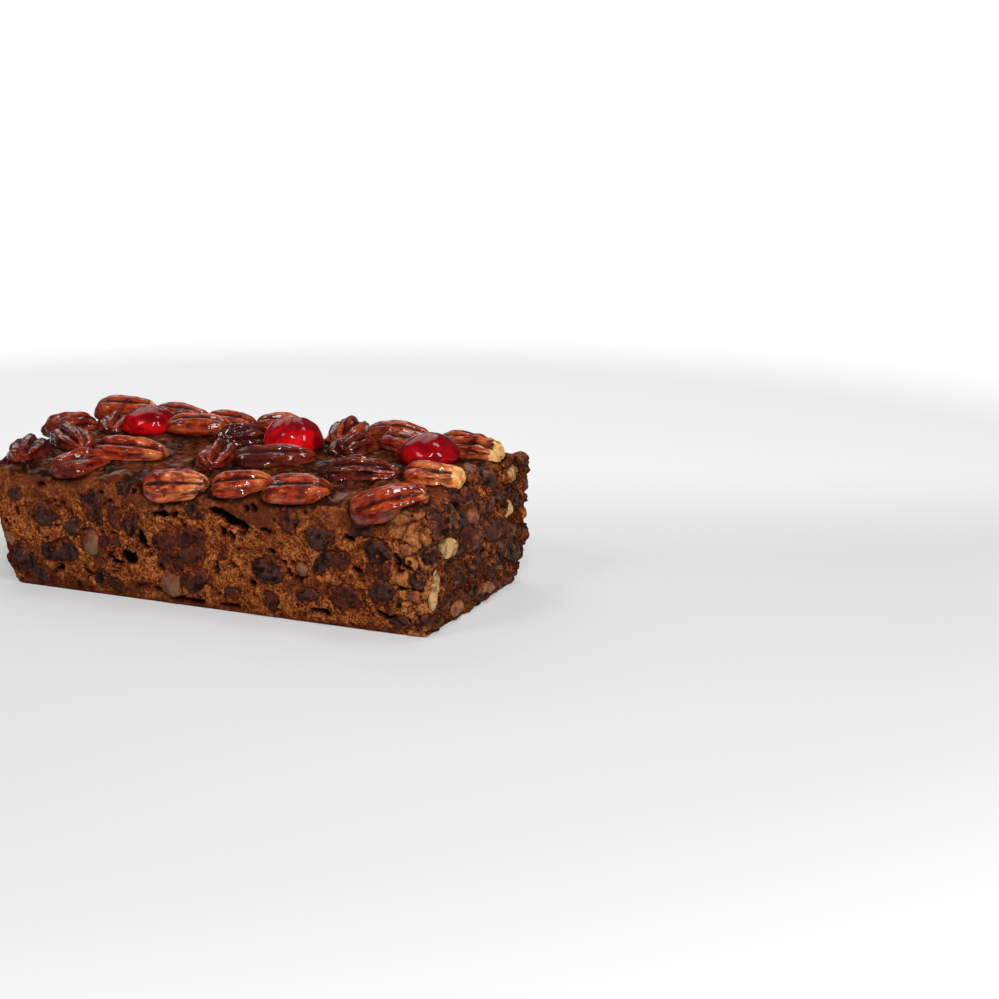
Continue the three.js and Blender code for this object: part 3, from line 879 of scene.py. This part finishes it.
def pecan_start(look, shape):
    """A pecan half two metres long, wide and high, along X, its flat side down."""
    groove, rough = SHAPES[shape]
    deselect()
    lying = (0, math.pi / 2, 0)
    bpy.ops.mesh.primitive_uv_sphere_add(segments=24, ring_count=14, radius=1.0, rotation=lying)
    nut = bpy.context.object
    nut.name = "pecan_start"
    bpy.ops.object.transform_apply()
    rings = sorted({round(v.co.x, 4) for v in nut.data.vertices})[1:-1]
    angles = {v.index: math.degrees(math.atan2(v.co.z, v.co.y)) for v in nut.data.vertices}
    with editing(nut):
        # Blunt ends, fuller towards one tip.
        for x in rings:
            girth = math.sqrt(1.0 - x * x)
            fuller = girth ** -0.38 * (1.0 - 0.1 * x)
            pick(nut, lambda v: abs(v.co.x - x) < 1e-3)
            bpy.ops.transform.resize(value=(1.0, fuller, fuller), center_override=(x, 0.0, 0.0))
        for angle, depth in GROOVES:
            left = 1.0 - depth * groove
            pick(nut, lambda v: abs(angles[v.index] - angle) < 5 and abs(v.co.x) < 0.93)
            bpy.ops.transform.resize(value=(1.0, left, left), center_override=(0.0, 0.0, 0.0))
            bpy.ops.transform.edge_crease(value=0.5)
        bpy.ops.mesh.select_all(action="SELECT")
        bpy.ops.transform.vertex_random(offset=0.04 * rough, uniform=0.3, normal=1.0, seed=7 + shape)
        pick(nut, lambda v: v.co.z < -0.01)
        bpy.ops.transform.resize(value=(1.0, 1.0, 0.35), center_override=(0.0, 0.0, 0.0))
    modify(nut, "SUBSURF", levels=2, render_levels=2)
    co, _ = points(nut)
    angle = np.degrees(np.arctan2(co[:, 2], co[:, 1]))
    paint(nut, "along", co[:, 0])
    paint(nut, "around", angle / 180.0)
    # Where the grooves run, which the material darkens as painted shade.
    in_groove = sum(np.exp(-(((angle - at) / 8) ** 2)) for at in (60, 120))
    in_furrow = sum(np.exp(-(((angle - at) / 6) ** 2)) for at in (15, 165))
    off_ends = ramp(1.0 - np.abs(co[:, 0]), 0.02, 0.2)
    paint(nut, "groove", np.clip(in_groove + 0.45 * in_furrow, 0, 1) * off_ends)
    return nut


def lay_of(node):
    """How a topping's solid lies: its middle, its axes as columns, and its half sizes along them.
    The first axis is its long one and the last points out of the cake."""
    solid = frame["nodes"][node].data
    centres = np.array([p.center for p in solid.polygons])
    areas = np.array([p.area for p in solid.polygons])
    middle = (centres * areas[:, None]).sum(0) / areas.sum()
    spread = ((centres - middle) * areas[:, None]).T @ (centres - middle)
    axes = np.linalg.eigh(spread)[1][:, ::-1]
    if axes[2, 2] < 0:
        axes[:, 2] *= -1
    if axes[0, 0] < 0:
        axes[:, 0] *= -1
    axes[:, 1] = np.cross(axes[:, 2], axes[:, 0])
    co = np.array([v.co for v in solid.vertices])
    local = (co - middle) @ axes
    low, high = local.min(0), local.max(0)
    return middle + axes @ ((low + high) / 2), axes, (high - low) / 2


def matrix_of(middle, axes, half):
    """What brings a shape of half size 1 at the origin to that middle, axes and half sizes."""
    turned = np.eye(4)
    turned[:3, :3] = axes * half
    turned[:3, 3] = middle
    return Matrix(turned.tolist())


class LOAF_OT_pecans(bpy.types.Operator):
    """Lays the pecan halves where their solids are"""

    bl_idname = "loaf.pecans"
    bl_label = "Pecan halves"

    def execute(self, context):
        look = context.scene.loaf_pecan
        shader = pecan_material(look)
        starts = [pecan_start(look, shape) for shape in range(len(SHAPES))]
        names = sorted(n for n in frame["nodes"] if n.startswith("pecan_half"))
        for number, node in enumerate(names, 1):
            tone, shape = TONES[number]
            middle, axes, half = lay_of(node)
            nut = duplicate(starts[shape], f"pecan_{number:02d}")
            if number in BROKEN:
                self.break_end(nut, BROKEN[number])
            low = 0.3  # the flat side sits this share of the height under the middle line
            sunk = 0.8 * MM  # and goes this far into the glaze, past the solid
            height = 2.0 * half[2] + sunk
            base = middle - axes[:, 2] * (half[2] + sunk)
            stand = base + axes[:, 2] * height * low / (1.0 + low)
            scale = np.array([half[0], half[1], height / (1.0 + low)])
            place(nut, matrix_of(stand, axes, scale))
            co, normal = points(nut)
            around, along = read(nut, "around") * 180.0, read(nut, "along")
            wavy = around + 7.0 * cloud(co, 0.008, number + 30, 1)
            lines = sum(np.exp(-(((wavy - at) / 4.5) ** 2)) for at in LINES)
            lines *= ramp(1.0 - np.abs(along), 0.03, 0.3)
            crack = ramp(np.abs(cloud(co, 0.0055, number + 60, 2)), 0.13, 0.0)
            dents = 1.0 * cloud(co, 0.0062, number, 2) - 0.35 * lines - 0.3 * crack
            shift(nut, normal, look.wrinkle * (SHAPES[shape][1] * 0.6 + 0.4) * dents)
            # The lines and cracks join the grooves' painted shade.
            paint(nut, "groove", np.clip(read(nut, "groove") + 0.34 * lines + 0.38 * crack, 0.0, 1.0))
            paint(nut, "tone", np.full(len(co), tone))
            paint(nut, "sliced", np.zeros(len(co)))
            if number in BROKEN:
                end = BROKEN[number]
                edge = (along - end) * np.sign(end) + cloud(co, 0.003, 5) * 0.08
                paint(nut, "sliced", ramp(edge, -0.04, 0.04))
            dress(nut, shader, "pecan_half", node)
        for start in starts:
            discard(start)
        return {"FINISHED"}

    def break_end(self, nut, end):
        """Makes the end beyond that share of the half length blunt and ragged."""
        co, _ = points(nut)
        side = np.sign(end)
        out = ramp(co[:, 0] * side, 0.35, 0.9)
        stop = 0.97 - 0.2 * (co[:, 1] ** 2 + co[:, 2] ** 2)
        stop += 0.1 * cloud(co, 0.45, 3) + 0.04 * cloud(co, 0.15, 7)
        co[:, 0] = side * np.minimum(co[:, 0] * side, stop)
        co[:, 1:] *= (1.0 + 0.3 * out)[:, None]
        nut.data.vertices.foreach_set("co", co.ravel())


# How brightly the light comes through each cherry.
GLOW = {1: 0.78, 2: 0.95, 3: 0.62}


class LOAF_OT_cherries(bpy.types.Operator):
    """Sets the glacé cherries where their solids are"""

    bl_idname = "loaf.cherries"
    bl_label = "Cherries"

    def execute(self, context):
        look = context.scene.loaf_cherry
        shader = cherry_material(look)
        for number, node in enumerate(sorted(n for n in frame["nodes"] if n.startswith("cherry")), 1):
            low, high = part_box(node)
            middle, half = (low + high) / 2, (high - low) / 2
            deselect()
            bpy.ops.mesh.primitive_uv_sphere_add(segments=20, ring_count=14, radius=1.0)
            fruit = bpy.context.object
            fruit.name = f"cherry_{number}"
            with editing(fruit):
                bpy.ops.mesh.select_all(action="SELECT")
                bpy.ops.transform.vertex_random(offset=0.035, uniform=0.2, normal=1.0, seed=number)
                pick(fruit, lambda v: v.co.z < -0.1)
                bpy.ops.transform.resize(value=(1.0, 1.0, 0.4), center_override=(0.0, 0.0, -0.1))
            modify(fruit, "SUBSURF", levels=3, render_levels=3)
            bottom = 0.46  # the flattened underside, as a share of the height above the middle
            sunk = 1.5 * MM  # how far it goes into the glaze, past the solid
            scale = Vector((half.x, half.y, (2 * half.z + sunk) / (1.0 + bottom)))
            centre = Vector((middle.x, middle.y, high.z - scale.z))
            place(fruit, Matrix.Translation(centre) @ Matrix.Diagonal((*scale, 1.0)))
            co, normal = points(fruit)
            dents = 0.35 * cloud(co, 0.012, number, 1) + 0.12 * cloud(co, 0.005, number + 9, 1)
            shift(fruit, normal, look.dent * dents)
            # Light gathers low down in the flesh, on the side away from the lamps.
            off = np.linalg.norm((co - np.array(middle)) / np.array(half) - (0.1, -0.77, -0.45), axis=1)
            height = (co[:, 2] - low.z) / (high.z - low.z)
            rim = 0.42 - 1.3 * np.abs(height - 0.2)
            # Painted light: the glow, strongest low in the flesh away from the lamps and in a band low round
            # the side.
            paint(fruit, "depth", GLOW[number] * np.clip(np.maximum(1.25 - off * 0.62, rim), 0.0, 1.0))
            dress(fruit, shader, "cherry", node)
        return {"FINISHED"}


class LOAF_OT_crumb(bpy.types.Operator):
    """Breaks the loaf's surface into crumb, holes and a torn cut, under a glazed top"""

    bl_idname = "loaf.crumb"
    bl_label = "Crumb and glaze"

    def execute(self, context):
        look = context.scene.loaf_crumb
        loaf = bpy.data.objects["crumb"]
        co, normal = points(loaf)
        zones = self.zones(co, normal)
        top, cut, corner = zones["glaze"], zones["sliced"], zones["corner"]
        sink, fruit, stain = self.bare_fruit(co, normal, look.lip, 1.0 - top)
        side = ramp(co[:, 2], 0.1 * MM, 1.2 * MM) * (1.0 - top) * (1.0 - fruit)
        moist = ramp(cloud(co, 0.014, 91), 0.1, 0.5) * (1.0 - corner)
        pit = ramp(cloud(co, 0.0032, 7), 0.6, 1.0)
        depths = self.hole_depths(loaf, co, look)
        grains, pore_shade = self.grains(co, look, cut, corner, moist)
        relief = self.swells(co, look) + grains - pit * 1.8 * MM - depths
        # Beside a nut or cherry the crumb calms down and the glaze climbs; under it the crumb sinks.
        gap = self.gap_to_toppings(co)
        close = ramp(gap, 2.6 * MM, 0.0)
        gloss = (0.8 * cloud(co, 0.009, 51) + 0.2 * cloud(co, 0.003, 55)) * MM
        rim = look.meniscus * close * ramp(normal[:, 2], 0.8, 0.97)
        relief = relief * side * (1.0 - close) + (gloss * (1.0 - close) + rim) * top
        relief -= ramp(gap, 0.3 * MM, -1.5 * MM) * 2.6 * MM
        shift(loaf, normal, relief + sink * (1.0 - side))
        sunk = np.maximum(ramp(depths, 0.3 * MM, 2.2 * MM), pit * 0.85) * side
        kept = {
            **zones,
            "pore_shade": pore_shade,
            # Painted shade in the holes and round the bared fruit.
            "hollow_shade": np.maximum(sunk, fruit * 0.55),
            "stain": np.maximum(stain, 0.75 * moist),
            # Closeness to the toppings, for the painted shade beside them.
            "contact_shade": ramp(gap, 2.9 * MM, 0.5 * MM),
        }
        for name, values in kept.items():
            paint(loaf, name, values)
        with editing(loaf):
            pick(loaf, lambda v: v.co.z < 0.15 * MM)
            bpy.ops.transform.resize(value=(1.0, 1.0, 0.0), center_override=(0.0, 0.0, 0.0))
            bpy.ops.mesh.dissolve_limited(angle_limit=0.02)
        dress(loaf, crumb_material(look), "cake", "cake")
        return {"FINISHED"}

    def zones(self, co, normal):
        """How far each point belongs to the parts of the surface, by the names that the material reads."""
        low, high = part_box("cake")
        from_cut, from_front, up = high[0] - co[:, 0], co[:, 1] - low[1], co[:, 2]
        wander = cloud(co, 0.007, 71)
        top = ramp(normal[:, 2] + wander * 0.1, 0.35, 0.75) * ramp(up, 38 * MM, 43 * MM)
        top *= ramp(from_cut + wander * 2 * MM, 5 * MM, 9 * MM)
        cut = ramp(normal[:, 0], 0.3, 0.7) * ramp(from_cut, 9 * MM, 5 * MM)
        corner = ramp(from_cut - wander * 2.5 * MM, 19 * MM, 13 * MM) * (1.0 - top)
        corner *= ramp(from_front + wander * 2 * MM, 9 * MM, 5 * MM)
        crust = ramp(up + wander * 2.5 * MM, 34.5 * MM, 41 * MM) * (1.0 - cut) * (1.0 - top)
        # The bottom band, which the material darkens: painted shade on a bottom crust baked darker.
        underside = ramp(up + wander * 1.5 * MM, 4 * MM, 0.5 * MM)
        return {"glaze": top, "sliced": cut, "corner": corner, "crust": crust, "underside": underside}

    def swells(self, co, look):
        """How far the sides swell, with a belly at the cut's far edge and lumps along the top of it."""
        from_cut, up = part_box("cake")[1][0] - co[:, 0], co[:, 2]
        belly = ramp(np.abs(up - 24 * MM), 14 * MM, 3 * MM) * ramp(co[:, 1], 26 * MM, 40 * MM)
        belly *= ramp(from_cut, 14 * MM, 6 * MM)
        lumps = ramp(up, 38 * MM, 44 * MM) * ramp(co[:, 1], 0.0, 22 * MM) * (cloud(co, 0.0052, 57) + 0.25)
        lumps *= ramp(from_cut, 17 * MM, 10 * MM)
        return look.uneven * 0.6 * cloud(co, 0.009, 3) + 2.6 * MM * belly + 3.2 * MM * lumps

    def grains(self, co, look, cut, corner, moist):
        """How far the crumb stands out, in grains, lumps and a torn cut, and where its pores are, for
        painted shade.
        """
        grain = scattered(co, look.grain * 1.5, 11)[0]
        clump = scattered(co, look.grain * 3.3, 21)[0]
        chunk, next_chunk = scattered(co + cloud(co, 0.004, 35)[:, None] * MM, 0.0075, 31)
        crack = ramp(next_chunk - chunk, 0.16, 0.04) * corner
        torn = cloud(co * (1.0, 1.0, 0.55), 0.0042, 41, 3) - np.abs(cloud(co, 0.008, 45)) + 0.3
        torn += 0.5 * cloud(co, 0.0016, 47, 1)
        broken = 0.9 * (0.5 - clump) + 0.8 * (0.5 - grain) + 0.35 * cloud(co, 0.0009, 9, 1)
        relief = look.clump * broken * (1.0 - 0.6 * moist)
        relief += corner * look.clump * (2.8 * (0.5 - chunk) - 1.4 * crack)
        relief += cut * look.tear * 0.5 * torn
        pore_shade = 0.55 * clump + 0.5 * grain - 0.5 + 0.35 * crack + cut * np.clip(-torn, 0, 1) * 0.5
        return relief, np.clip(pore_shade, -0.5, 1.0)

    def bare_fruit(self, co, normal, lip, where):
        """Where the fruit shows, with a ragged edge, how far the crumb sinks there, and its stain."""
        names = ["raisins", "dates", "nut_pieces", "candied_fruit"]
        near = join("near", [duplicate(bpy.data.objects[n], "near") for n in names])
        tree = surface_tree(near)
        discard(near)
        start = 4 * MM
        rise = np.full(len(co), -start)
        for n in np.flatnonzero(where > 0.02):
            out = Vector(normal[n])
            found = tree.ray_cast(Vector(co[n]) + out * start, -out, 2 * start)
            if found[0] is not None:
                rise[n] = start - found[3]
        ragged = (cloud(co, 0.0036, 61) * 1.0 + cloud(co, 0.0014, 65, 1) * 0.6) * MM
        bare = ramp(rise + ragged, -lip - 0.2 * MM, -lip + 0.2 * MM) * where
        sink = bare * np.clip(rise - 1.0 * MM, -3 * MM, 0.0)
        return sink, bare, ramp(rise, -3.2 * MM, -0.4 * MM) * where

    def hole_depths(self, loaf, co, look):
        """How far the air holes draw each point in: the large ones that show, then seeded small ones."""
        tree = surface_tree(loaf)
        draw = random.Random(look.seed)
        ragged = cloud(co, 0.0026, 81) * 0.75 * MM
        holes = []
        for x0, y0, x1, y1, width in HOLES:
            ends = pixel_on(tree, x0, y0)[0], pixel_on(tree, x1, y1)[0]
            holes.append((*ends, width / 2 * MM, 1.0))
        for _ in range(look.holes):
            at = Vector(co[draw.randrange(len(co))])
            drift = Vector(draw.uniform(-1, 1) for _ in range(3)) * draw.uniform(0, 2.2) * MM
            holes.append((at, at + drift, draw.uniform(0.45, 1.15) * MM, draw.uniform(0.5, 1.0)))
        depths = np.zeros(len(co))
        for first, last, radius, share_of_depth in holes:
            first, last = np.array(first), np.array(last)
            span = last - first
            reach = radius + 1.5 * MM
            close = np.flatnonzero((np.abs(co - (first + last) / 2) < np.abs(span) / 2 + reach).all(1))
            off = co[close] - first
            t = np.clip(off @ span / max(span @ span, 1e-12), 0.0, 1.0)
            gap = np.linalg.norm(off - t[:, None] * span, axis=1) + ragged[close]
            depth = look.hole * share_of_depth * ramp(gap, radius + 0.6 * MM, radius - 0.6 * MM)
            depths[close] = np.maximum(depths[close], depth)
        return depths

    def gap_to_toppings(self, co):
        """How far each point near the top is from the nuts and cherries, less than 0 inside them."""
        reach = 4 * MM
        toppings = [o for o in bpy.data.objects if o.name.startswith(("pecan_", "cherry_"))]
        toppings = [o for o in toppings if o.name not in frame["nodes"]]
        near = join("near", [duplicate(o, "near") for o in toppings])
        tree = surface_tree(near)
        discard(near)
        gap = np.full(len(co), reach)
        for n in np.flatnonzero(co[:, 2] > 34 * MM):
            found = tree.find_nearest(Vector(co[n]), reach)
            if found[0] is not None:
                outside = (Vector(co[n]) - found[0]).dot(found[1]) > 0
                gap[n] = found[3] if outside else -found[3]
        return gap


# The soft lamps: where each stands, its width and height, and its power in watts.
SOFTBOXES = [
    ("back", (-0.5, 0.55, 0.75), (0.9, 0.7), 4.0),
    ("front", (-0.35, -0.85, 1.0), (0.3, 0.3), 4.0),
    ("right", (0.75, -0.45, 0.6), (0.2, 0.4), 7.0),
    ("strip", (0.45, -0.8, 0.75), (0.06, 0.35), 4.5),
    ("top", (0.25, 0.1, 0.9), (0.25, 0.25), 2.5),
]
# What they are turned to.
AIM = (0.0, 0.0, 0.03)


class LOAF_OT_stage(bpy.types.Operator):
    """Pale floor that glows white far off, soft lights and the camera"""

    bl_idname = "loaf.stage"
    bl_label = "Stage"

    def execute(self, context):
        look = context.scene.loaf_stage
        scene = context.scene
        deselect()
        bpy.ops.mesh.primitive_plane_add(size=80.0, location=(0.0, 0.0, 0.0))
        floor = context.object
        floor.name = "floor"
        floor.data.materials.append(self.paper(look).material)

        data = bpy.data.cameras.new("camera")
        data.lens = look.focal
        data.sensor_width = SENSOR
        data.clip_start = 0.01
        camera = bpy.data.objects.new("camera", data)
        camera.matrix_world = camera_matrix()
        scene.collection.objects.link(camera)
        scene.camera = camera

        world = bpy.data.worlds.new("studio")
        world.use_nodes = True
        world.node_tree.nodes["Background"].inputs["Color"].default_value = (1.0, 1.0, 1.0, 1.0)
        world.node_tree.nodes["Background"].inputs["Strength"].default_value = look.fill
        scene.world = world
        for name, at, size, power in SOFTBOXES:
            self.softbox(f"softbox_{name}", at, size, power)
        scene.view_settings.view_transform = "Standard"
        return {"FINISHED"}

    def paper(self, look):
        """Pale paper that glows more behind the loaf, and white far off."""
        m = Shader("floor_paper")
        away = m.add("ShaderNodeVectorMath", {0: m.coordinates}, output="Value", operation="LENGTH")
        to_back = {0: m.coordinates, 1: (-0.4, 0.91, 0.0)}
        behind = m.add("ShaderNodeVectorMath", to_back, output="Value", operation="DOT_PRODUCT")
        faded = away.math("MAXIMUM", away.between(0.25, 0.8), behind.between(0.02, 0.2) * 0.3)
        return m.finish(
            base_color=(*look.floor, 1.0),
            roughness=0.9,
            specular_ior_level=0.1,
            emission_color=m.mix(faded, look.near, look.far),
            emission_strength=1.0,
        )

    def softbox(self, name, at, size, power):
        """A lamp behind a rectangle of cloth, turned to the loaf."""
        light = bpy.data.lights.new(name, "AREA")
        light.shape = "RECTANGLE"
        light.size, light.size_y = size
        light.energy = power
        lamp = bpy.data.objects.new(name, light)
        lamp.location = at
        lamp.rotation_euler = (Vector(AIM) - Vector(at)).to_track_quat("-Z", "Y").to_euler()
        bpy.context.scene.collection.objects.link(lamp)


STEPS = [LOAF_OT_stage, LOAF_OT_body, LOAF_OT_fruit, LOAF_OT_pecans, LOAF_OT_cherries, LOAF_OT_crumb]
GROUPS = {
    "loaf_crumb": LOAF_PG_crumb,
    "loaf_fruit": LOAF_PG_fruit,
    "loaf_pecan": LOAF_PG_pecan,
    "loaf_cherry": LOAF_PG_cherry,
    "loaf_stage": LOAF_PG_stage,
}


class LOAF_PT_panel(bpy.types.Panel):
    """Lists the steps that make the loaf"""

    bl_idname = "LOAF_PT_panel"
    bl_label = "Fruit cake loaf"
    bl_space_type = "VIEW_3D"
    bl_region_type = "UI"
    bl_category = "Loaf"

    def draw(self, context):
        for step in STEPS:
            self.layout.operator(step.bl_idname)


def register():
    for group in (*GROUPS.values(), *STEPS, LOAF_PT_panel):
        bpy.utils.register_class(group)
    for name, group in GROUPS.items():
        setattr(bpy.types.Scene, name, PointerProperty(type=group))


def unregister():
    for name in GROUPS:
        delattr(bpy.types.Scene, name)
    for group in reversed((*GROUPS.values(), *STEPS, LOAF_PT_panel)):
        bpy.utils.unregister_class(group)


def main():
    register()
    for step in STEPS:
        area, name = step.bl_idname.split(".")
        getattr(getattr(bpy.ops, area), name)()


if __name__ == "__main__":
    main()
